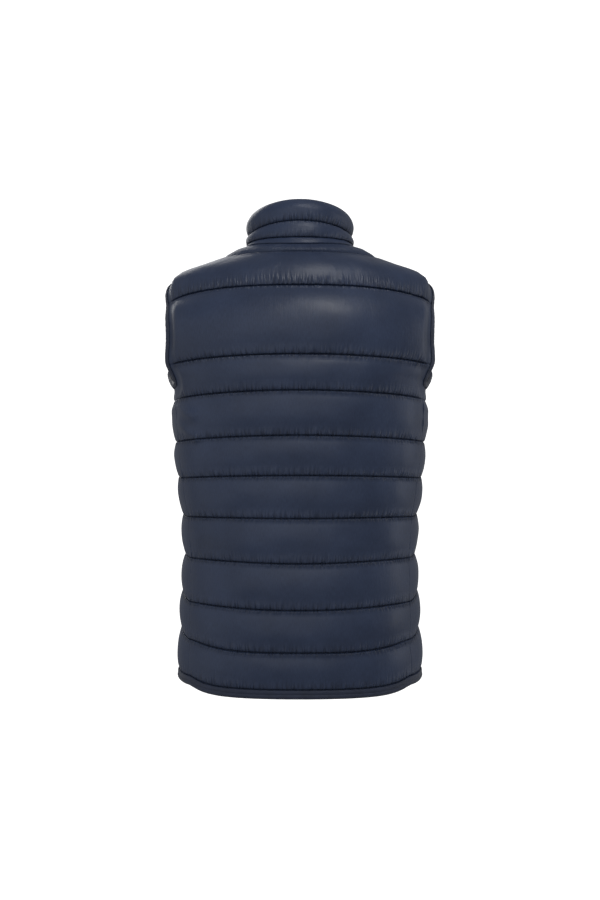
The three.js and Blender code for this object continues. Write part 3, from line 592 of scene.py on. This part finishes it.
# padded panels
def twoCloths(name, outerGrid, innerGrid):  # outer and inner cloth, joined round their rim
    bm = bmesh.new()
    rim = addGrid(bm, *outerGrid) + addGrid(bm, *innerGrid, finish=1)
    bmesh.ops.bridge_loops(bm, edges=rim)
    return meshObject(bm, name, [calenderedNylon, liningNylon])


panelCut = {
    "back": {"columns": 320, "innerColumns": 64}, "front": {"columns": 160, "innerColumns": 32},
    "rowStep": 2.5, "innerStep": 9.0, "liningRise": 1.6}
backSeed, frontSeeds = 0.0, (41.0, 64.0)  # left front, right front


def roundAngles(first, last, share):  # even steps round the body between two angles
    start, end = roundLength(first), roundLength(last)
    length = start + (end - start) * share
    return np.sign(length) * np.interp(np.abs(length), arcLengths, arcAngles)


def paddedPanel(name, first, last, cut, top, fixed, mirror, seed):
    table = chambers.copy()
    table[-1, 1] = top
    rows = chamberRows(table, panelCut["rowStep"], fixed)
    flip = sideFlip(mirror)

    def angles(across, z, count):
        return roundAngles(first(z), last(z), across / count)

    def outer(across, up):
        z = rows[up]
        return outerPoint(angles(across, z, cut["columns"]), z, seed) * flip

    def mapOn(levelsUp, columnCount):  # length round the body and level
        def clothMap(across, up):
            z = levelsUp[up]
            return flatPlace(roundLength(angles(across, z, columnCount)), z)
        return clothMap

    innerRows = chamberRows(table, panelCut["innerStep"], fixed)

    def inner(across, up):
        z = innerRows[up]
        angle = angles(across, z, cut["innerColumns"])
        points = bodyPoint(angle, z)
        k, t = chamberOf(chambers, z)
        rise = panelCut["liningRise"] * np.sin(pi * t) * np.minimum(1, chambers[k, 2] / 8)
        return (points - bodyNormal(angle, z) * (rise * fullness(points))[:, None]) * flip

    def outerCrease(across, up):
        points = bodyPoint(angles(across, rows[up], cut["columns"]), rows[up])
        return creaseShare(chambers, rows[up]) * np.minimum(1, fullness(points) * 2.5)

    made = twoCloths(
        name, (cut["columns"], len(rows) - 1, outer, mapOn(rows, cut["columns"]), outerCrease),
        (cut["innerColumns"], len(innerRows) - 1, inner, mapOn(innerRows, cut["innerColumns"])))
    return made


backSoft = paddedPanel("backPanel", lambda z: -backEdge(z), backEdge, panelCut["back"], neckline,
                       [underarm, shoulderTip], False, backSeed)
dress(backSoft, "vest", "shell_nylon", "back")
for name, mirror, node in (("frontPanelLeft", False, "front_left"), ("frontPanelRight", True, "front_right")):
    dress(paddedPanel(name, frontEdge, innerEdge, panelCut["front"], frontTip,
                      [underarm, shoulderTip, neckCorner], mirror, frontSeeds[mirror]),
          "vest", "shell_nylon", node)
print("panels made")


# collar and neckband
collarColumns = ["z", "sideX", "sideY", "backY", "frontY", "backZ", "sideZ", "frontZ"]
collarLine = 0.42  # share of the collar's height at which it is stitched through
collarRings = np.array([(0, 79, -5, 63, -75, 1.5, 5.5, -60), (collarLine, 75, -6, 61, -74, 27, 20, -32),
                        (1, 70, -8, 56, -74, 62, 53, 2)])
collarChambers = np.array([(0, collarLine, 5), (collarLine, 1, 9)])
collarCut = {"columns": 230, "rows": 26, "innerColumns": 115, "innerRows": 8, "dense": 0.6, "seed": 90.0,
             "topRound": 0.055, "topThinning": 1.4, "innerPuff": 1.2, "clearTop": 40, "creases": 0.8,
             "lumps": 0.7, "lumpWidth": 21, "frontReach": 25, "frontLeast": 0.06,
             "radius": 76.0, "height": 72.0, "halfRound": 230.0}  # millimetres


def collarPoint(angle, share):
    angle, share = together(angle, share)
    value = lambda name: curveThrough(collarRings, collarColumns.index(name), share)
    s, c = np.sin(angle), np.cos(angle)
    depth = np.where(c > 0, value("backY"), value("frontY")) - value("sideY")
    rise = np.where(c > 0, value("backZ"), value("frontZ")) - value("sideZ")
    return np.stack([value("sideX") * s, value("sideY") + depth * np.abs(c),
                     value("sideZ") + rise * c * c], -1)


def collarNormal(angle, share):
    return outward(collarPoint, np.asarray(angle, float), share, shareStep)


def neckSeam(backCount, frontCount):  # angle and level of the neck seam's points, from right to left
    back = np.linspace(-1, 1, backCount) * float(backEdge(np.array(neckline)))
    level = np.linspace(frontTip, neckCorner, frontCount)
    turn = innerEdge(level)
    return (np.concatenate([-turn[::-1], back, turn]),
            np.concatenate([level[::-1], np.full(backCount, neckline), level]))


def seamPlaces(count):  # neck seam points, wall directions and collar angles at even distances
    turn, level = neckSeam(120, 120)
    points = bodyPoint(turn, level)
    lean = seamDirection(points, bodyNormal(turn, level))
    across = np.arcsin(np.minimum(1, np.abs(points[:, 0]) / neckHalfWidth))
    angle = np.sign(turn) * np.where(level == neckline, np.abs(turn), pi - across)
    along = lengthsAlong(points)
    even = np.linspace(0, along[-1], count)
    return (pickAt(even, along, points), unit(pickAt(even, along, lean)), np.interp(even, along, angle),
            even)


def collarAngles(share, place):  # the collar's front edges stay at the zip's opening all the way up
    last = pi - np.arcsin(zipHalfOpening / curveThrough(collarRings, 1, share))
    return place * last


def collarRise(angle, share, seed):
    cut = collarCut
    points = collarPoint(angle, share)
    k, t = chamberOf(collarChambers, share)
    rise = collarChambers[k, 2] * np.maximum(0, np.sin(pi * t)) ** cushion["roundness"]
    length = angle * cut["radius"]
    height = (collarChambers[k, 1] - collarChambers[k, 0]) * cut["height"]
    low, high = t * height, (1 - t) * height + cut["clearTop"] * (k == 1)  # no creases at the top fold
    creases = puckers(length, low, high, k + 20, seed) * cut["creases"]
    lumps = cut["lumps"] * noise(1, length / cut["lumpWidth"] + 5 * k, share * 4 + seed)
    front = smooth((np.abs(points[:, 0]) - zipHalfOpening) / cut["frontReach"] + (points[:, 1] > 0) * 9)
    full = cut["frontLeast"] + (1 - cut["frontLeast"]) * front
    return (rise + lumps * np.sin(pi * t) + creases) * full


def outerCollar(angle, share, seed, extra=0.0):
    over = smooth((share - 1 + collarCut["topRound"]) / collarCut["topRound"])  # the fold at the top
    thick = wall - collarCut["topThinning"] * over ** 2 + extra + collarRise(angle, share, seed)
    return collarPoint(angle, share) + collarNormal(angle, share) * thick[:, None]


def makeCollar():
    cut = collarCut
    seam = seamPlaces(cut["columns"] + 1)[2]
    seam = seam / seam[-1]
    low = np.round(cut["rows"] * collarLine)
    index = np.arange(cut["rows"] + 1)
    first = closeAtEnds(index / low, cut["dense"])
    second = closeAtEnds((index - low) / (cut["rows"] - low), cut["dense"])
    shares = np.where(index <= low, collarLine * first, collarLine + (1 - collarLine) * second)

    def outer(across, up):
        return outerCollar(collarAngles(shares[up], seam[across]), shares[up], cut["seed"])

    def outerMap(across, up):
        return flatPlace(seam[across] * cut["halfRound"], shares[up] * cut["height"])

    step = cut["columns"] // cut["innerColumns"]

    def inner(across, up):
        share = up / cut["innerRows"]
        angle = collarAngles(share, seam[across * step])
        puff = cut["innerPuff"] * np.sin(pi * share)
        return collarPoint(angle, share) - collarNormal(angle, share) * puff[:, None]

    def innerMap(across, up):
        return flatPlace(seam[across * step] * cut["halfRound"], up / cut["innerRows"] * cut["height"])

    def outerCrease(across, up):  # none at the top fold
        return creaseShare(collarChambers, shares[up], cut["height"]) * smooth((0.9 - shares[up]) / 0.2)

    return twoCloths("collarRolls", (cut["columns"], cut["rows"], outer, outerMap, outerCrease),
                     (cut["innerColumns"], cut["innerRows"], inner, innerMap))


neckbandCut = {"columns": 200, "rows": 6, "thickness": [4.5, 3.9, 3], "height": 14.0, "unevenness": 0.25}


def makeNeckband():
    count, rowCount = neckbandCut["columns"], neckbandCut["rows"]
    points, lean, angle, even = seamPlaces(count + 1)
    angle = collarAngles(np.zeros(count + 1), angle / angle[-1])
    top, topLean = collarPoint(angle, 0.0), collarNormal(angle, np.zeros(count + 1))
    rise = top - points
    thickness = np.interp(np.arange(rowCount + 1) / rowCount, [0, 0.5, 1], neckbandCut["thickness"])

    def face(across, up, thick):
        share = up / rowCount
        place = points[across] + rise[across] * share[:, None] + unit(rise)[across] * (
            seamGap * (1 - 2 * share))[:, None]
        through = unit(lean[across] * (1 - share)[:, None] + topLean[across] * share[:, None])
        return place + through * thick[:, None]

    def outer(across, up):
        small = neckbandCut["unevenness"] * noise(5, even[across] / 6, up / 3.0)
        return face(across, up, thickness[up] + small)

    def clothMap(across, up):
        return flatPlace(even[across], up / rowCount * neckbandCut["height"])

    return twoCloths("neckbandStrip", (count, rowCount, outer, clothMap),
                     (count, rowCount, lambda across, up: face(across, up, np.zeros(len(up))), clothMap))


collarSoft = makeCollar()
dress(collarSoft, "vest", "shell_nylon", "collar")
neckbandSoft = makeNeckband()
dress(neckbandSoft, "vest", "shell_nylon", "neckband")
print("collar made")


# folded bindings
def beside(angle, z, direction, distance):  # place on the body a short way along a direction
    step, rise = 0.25 * degree, 0.5
    turn = (bodyPoint(angle + step, z) - bodyPoint(angle - step, z)) / (2 * step)
    up = (bodyPoint(angle, z + rise) - bodyPoint(angle, z - rise)) / (2 * rise)
    dot = lambda a, b: np.sum(a * b, axis=-1)
    scale = dot(turn, turn) * dot(up, up) - dot(turn, up) ** 2
    byTurn, byUp = dot(turn, direction) * distance, dot(up, direction) * distance
    return (angle + (byTurn * dot(up, up) - byUp * dot(turn, up)) / scale,
            z + (byUp * dot(turn, turn) - byTurn * dot(turn, up)) / scale)


face = wall + seamGap
bindings = {
    "armhole": {  # section of the folded strip: distance into the panel, and height over the lining
        "section": [(8, face + 0.5), (7.4, face + 0.75), (6.7, face + 0.6), (5.6, face + 1.2),
                    (3.6, face + 1.7), (1.6, face + 1.6), (0, face + 1.0), (-1.2, face - 0.1), (-1.8, 2.0),
                    (-1.7, 0.8), (-1.0, -0.3), (0.4, -0.8), (3, -0.9), (6.2, -0.8)],
        "steps": 260, "stitchAt": 6.7, "stitchUp": face + 1.1},
    "hem": {
        "section": [(10.3, face + 0.4), (9.6, face + 0.6), (8.6, face + 1.2), (6.8, face + 1.5),
                    (5.1, face + 1.2), (4.1, face + 0.6), (3.3, face + 1.2), (1.8, face + 1.6),
                    (0.3, face + 1.2), (-1.2, face + 0.1), (-2.0, 1.9), (-1.8, 0.6), (-1.0, -0.4),
                    (0.6, -0.9), (4.6, -0.9), (8.6, -0.8)],
        "steps": 420, "stitchAt": 4.1, "stitchUp": face + 1.0},
    "thickness": 0.7, "ripple": 0.28, "rippleLength": 3.4, "rippleRound": 2.5, "sectionPoints": 26,
    "alongStep": 2.6, "roundStep": 0.9}  # millimetres between two points of a strip


def strip(path, section, into, seed):  # points of a folded strip, round its section and along the edge
    angle, level = path
    length = np.arange(len(angle)) * bindings["alongStep"] / bindings["rippleLength"]
    rows = []
    for k, (along, up) in enumerate(section):
        nearAngle, nearLevel = beside(angle, level, into, along)
        ripple = noise(6, length + 3 * k / len(section), k / bindings["rippleRound"] + seed)
        lift = up + bindings["ripple"] * ripple * (up > 1)  # the inner side lies flat
        if along < 0:
            place = bodyPoint(angle, level) + into * along + bodyNormal(angle, level) * lift[:, None]
        else:
            place = bodyPoint(nearAngle, nearLevel) + bodyNormal(nearAngle, nearLevel) * lift[:, None]
        rows.append(place)
    return np.array(rows)


def smoothLine(points, count):  # an even, rounded line through a few section points
    points = np.array(points, float)
    t = lengthsAlong(points)
    even = np.linspace(0, t[-1], count)
    return np.stack([curveThrough(np.column_stack([t, values]), 1, even) for values in points.T], -1)


def intoPanel(path, closed):  # from the edge into the panel, at each place of a path
    points, normals = bodyPoint(*path), bodyNormal(*path)
    run = np.roll(points, -1, axis=0) - np.roll(points, 1, axis=0) if closed else np.gradient(points, axis=0)
    return unit(np.cross(run, normals))


def bindingPiece(name, path, closed, cut, mirror, seed):
    into = intoPanel(path, closed)
    section = smoothLine(cut["section"], bindings["sectionPoints"])
    rows = strip(path, section, into, seed)
    if closed:
        rows = np.concatenate([rows, rows[:, :1]], axis=1)
    flip = sideFlip(mirror)
    bm = bmesh.new()
    addGrid(bm, rows.shape[1] - 1, len(section) - 1, lambda across, up: rows[up, across] * flip,
            lambda across, up: flatPlace(across * bindings["alongStep"], up * bindings["roundStep"]))
    if closed:
        bmesh.ops.remove_doubles(bm, verts=bm.verts, dist=0.00001)
    made = meshObject(bm, name, [bindingNylon])
    thick = made.modifiers.new("cloth thickness", "SOLIDIFY")
    thick.thickness, thick.offset = bindings["thickness"] * mm, 0.0
    return made


def evenPath(angle, level, count, closed):
    points = bodyPoint(angle, level)
    t = lengthsAlong(points)
    even = np.linspace(0, t[-1], count, endpoint=not closed)
    return np.interp(even, t, angle), np.interp(even, t, level)


rising = underarm + (shoulderTip - underarm) * (1 - np.cos(pi * np.linspace(0, 1, 300)[1:-1])) / 2
low, tip = np.array([underarm]), np.array([shoulderTip])
armholePath = evenPath(
    np.concatenate([sideAngle(low), backEdge(rising), sideAngle(tip), frontEdge(rising)[::-1],
                    sideAngle(low)]),
    np.concatenate([low, rising, tip, rising[::-1], low]), bindings["armhole"]["steps"], True)
hemTurn = np.linspace(-1, 1, 900) * float(innerEdge(np.array(hem)))
hemPath = evenPath(hemTurn, np.full(900, hem), bindings["hem"]["steps"], False)
for name, mirror, node in (("armholeBindingLeft", False, "armhole_binding_left"),
                           ("armholeBindingRight", True, "armhole_binding_right")):
    dress(bindingPiece(name, armholePath, True, bindings["armhole"], mirror, 3.0 * mirror),
          "vest", "trim_nylon", node)
dress(bindingPiece("hemBindingRoll", hemPath, False, bindings["hem"], False, 7.0),
      "vest", "trim_nylon", "hem_binding")
print("bindings made")

# zip teeth
teeth = {"pitch": 3.0, "width": 3.1, "deep": 2.9, "tall": 1.35, "shift": 0.2, "offset": 0.95, "bevel": 0.35,
         "head": 1.9, "headLength": 1.3, "headShift": -1.2, "headDepth": 0.8, "height": 1.85,
         "bottom": 13.2, "top": -4.6}


def zipLine(count):  # inner face of the front along the zip, from the hem to the collar's top
    z = np.linspace(hem, neckCorner, 300)
    share = np.linspace(0, 1, 60)
    turn = np.full(300, pi)
    points = np.concatenate([bodyPoint(turn, z), collarPoint(np.full(60, pi), share)])
    normals = np.concatenate([bodyNormal(turn, z), collarNormal(np.full(60, pi), share)])
    even = np.linspace(points[0, 2], points[-1, 2], count)
    return pickAt(even, points[:, 2], points), unit(pickAt(even, points[:, 2], normals))


# the tape's section, by distance from the middle and height: its edge lies under the teeth, and its far side
# is sewn in between the front's two cloths
tape = {"steps": 400, "rib": 0.07, "ribTurn": 2.1, "section": [
    (0.5, 0.05), (0.8, -0.25), (2.9, -0.25), (3.9, 0.85), (8.0, 0.9), (14.3, 0.85), (14.5, 1.4), (14.3, 1.9),
    (8.0, 1.95), (4.2, 1.95), (3.3, 1.9), (2.9, 0.35), (0.8, 0.3)]}


def makeTape(name, side):
    section = np.array(tape["section"] + tape["section"][:1])
    points, normals = zipLine(tape["steps"] + 1)
    t = lengthsAlong(points)

    def place(across, up):
        rib = tape["rib"] * np.sin(across * tape["ribTurn"]) * (section[up, 1] > 1.8)
        spot = points[across] + normals[across] * (section[up, 1] + rib)[:, None]
        return spot + np.outer(side * section[up, 0], (1, 0, 0))

    bm = bmesh.new()
    addGrid(bm, tape["steps"], len(section) - 1, place,
            lambda across, up: flatPlace(t[across], section[up, 0]))
    bmesh.ops.remove_doubles(bm, verts=bm.verts, dist=0.000001)
    bmesh.ops.holes_fill(bm, edges=[e for e in bm.edges if e.is_boundary])
    made = meshObject(bm, name, [zipTapeCloth])
    return made


def makeTeeth():
    cut = teeth
    tooth = bmesh.new()  # a block on the tape with a rounder head that hooks the other side's
    for shift, size in ((cut["shift"], (cut["width"], cut["tall"], cut["deep"])),
                        (cut["headShift"], (cut["headLength"], cut["head"], cut["deep"] * cut["headDepth"]))):
        bmesh.ops.create_cube(tooth, size=1, matrix=Matrix.Translation((shift * mm, 0, 0)) @ Matrix.Diagonal(
            (*[side * mm for side in size], 1)))
    bmesh.ops.bevel(tooth, geom=list(tooth.edges), offset=cut["bevel"] * mm, segments=1, profile=0.5,
                    affect="EDGES", material=-1)
    toothMesh = bpy.data.meshes.new("tooth")
    tooth.to_mesh(toothMesh)
    tooth.free()
    points, normals = zipLine(3000)
    t = lengthsAlong(points)
    foot, top = points[0, 2] + cut["bottom"], cut["top"]
    start, end = np.interp([foot, top], points[:, 2], t)
    chain = bmesh.new()
    for n, place in enumerate(np.arange(start, end, cut["pitch"] / 2)):
        at = pickAt(place, t, points)
        out = Vector(pickAt(place, t, normals)).normalized()
        side = 1 if n % 2 else -1
        up = out.cross(Vector((side, 0, 0))).normalized()
        spot = Vector(at * mm) + out * cut["height"] * mm + Vector((side * cut["offset"] * mm, 0, 0))
        turn = Matrix((Vector((side, 0, 0)), up, out)).transposed().to_4x4()
        before = len(chain.verts)
        chain.from_mesh(toothMesh)
        chain.verts.ensure_lookup_table()
        bmesh.ops.transform(chain, matrix=Matrix.Translation(spot) @ turn, verts=chain.verts[before:])
    bpy.data.meshes.remove(toothMesh)
    return meshObject(chain, "zipTeeth", [acetalTeeth], shadeSmooth=False)


dress(makeTeeth(), "vest", "zip_plastic", "zip_chain")
dress(makeTape("zipTapeLeft", 1), "vest", "trim_nylon", "zip_tape_left")
dress(makeTape("zipTapeRight", -1), "vest", "trim_nylon", "zip_tape_right")
print("zip teeth and tapes made")

# sewing
sewing = {"length": 2.5, "halfRun": 1.2, "gap": 0.7, "thick": 0.36, "sunk": 0.12, "fromZip": 3.5,
          "points": 500, "zipPoints": 700, "over": 0.25, "overCollar": 0.2, "fromEnds": 0.004,
          "overHem": 14, "underNeck": 4, "collarReach": 0.99}


def makeStitches(name, seams):
    cut = sewing
    grain = Matrix.Diagonal((cut["length"] / 2 * mm, cut["thick"] / 2 * mm, cut["thick"] / 2 * mm, 1))
    rows = bmesh.new()
    for points, normals in seams:
        t = lengthsAlong(points)
        for place in np.arange(cut["length"], t[-1] - cut["length"], cut["length"] + cut["gap"]):
            ends = [pickAt(place + way * cut["halfRun"], t, points) for way in (-1, 1)]
            run = Vector(ends[1] - ends[0]).normalized()
            out = Vector(pickAt(place, t, normals))
            aside = out.cross(run).normalized()
            out = run.cross(aside)
            turn = Matrix((run, aside, out)).transposed().to_4x4()
            spot = Vector((ends[0] + ends[1]) / 2 * mm) - out * cut["sunk"] * mm
            bmesh.ops.create_icosphere(rows, subdivisions=1, radius=1,
                                       matrix=Matrix.Translation(spot) @ turn @ grain)
    return dress(meshObject(rows, name, [stitchThread], turnOut=False), "vest", "trim_nylon")


def seamOver(angle, z, seed, mirror):  # places just over a panel, and the way outward there
    flip = sideFlip(mirror)
    return outerPoint(angle, z, seed, sewing["over"]) * flip, bodyNormal(angle, z) * flip


def quiltSeams(first, last, seed, mirror, lines):
    share = np.linspace(sewing["fromEnds"], 1 - sewing["fromEnds"], sewing["points"])
    rows = [np.full(len(share), level) for level in lines]
    return [seamOver(roundAngles(first(z), last(z), share), z, seed, mirror) for z in rows]


def bindingSeam(path, closed, cut, mirror):
    into = intoPanel(path, closed)
    angle, level = beside(*path, into, cut["stitchAt"])
    normals = bodyNormal(angle, level)
    flip = sideFlip(mirror)
    return (bodyPoint(angle, level) + normals * cut["stitchUp"]) * flip, normals * flip


def zipSeam(seed, mirror):  # beside the zip, where the tape is sewn in
    z = np.linspace(hem + sewing["overHem"], neckCorner - sewing["underNeck"], sewing["zipPoints"])
    edge = innerEdge(z)
    return seamOver(edge - sewing["fromZip"] / roundSpeed(edge, z), z, seed, mirror)


def collarSeam():
    share = np.full(sewing["points"], collarLine)
    reach = sewing["collarReach"]
    angle = collarAngles(share, np.linspace(-reach, reach, sewing["points"]))
    return (outerCollar(angle, share, collarCut["seed"], sewing["overCollar"]),
            collarNormal(angle, share))


quiltLines = chambers[1:, 0]
makeStitches("quiltStitchesBack", quiltSeams(lambda z: -backEdge(z), backEdge, backSeed, False, quiltLines))
makeStitches("quiltStitchesFront",
             quiltSeams(frontEdge, innerEdge, frontSeeds[0], False, quiltLines[:-1])
             + quiltSeams(frontEdge, innerEdge, frontSeeds[1], True, quiltLines[:-1]))
makeStitches("bindingStitches", [
    bindingSeam(armholePath, True, bindings["armhole"], False),
    bindingSeam(armholePath, True, bindings["armhole"], True),
    bindingSeam(hemPath, False, bindings["hem"], False),
    zipSeam(frontSeeds[0], False), zipSeam(frontSeeds[1], True), collarSeam()])
print("stitches made")

for node, finish in (("zip_box", acetalTeeth), ("zip_slider", paintedZinc), ("zip_pull", paintedZinc)):
    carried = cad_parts[node]
    carried.data.materials.clear()
    carried.data.materials.append(finish)
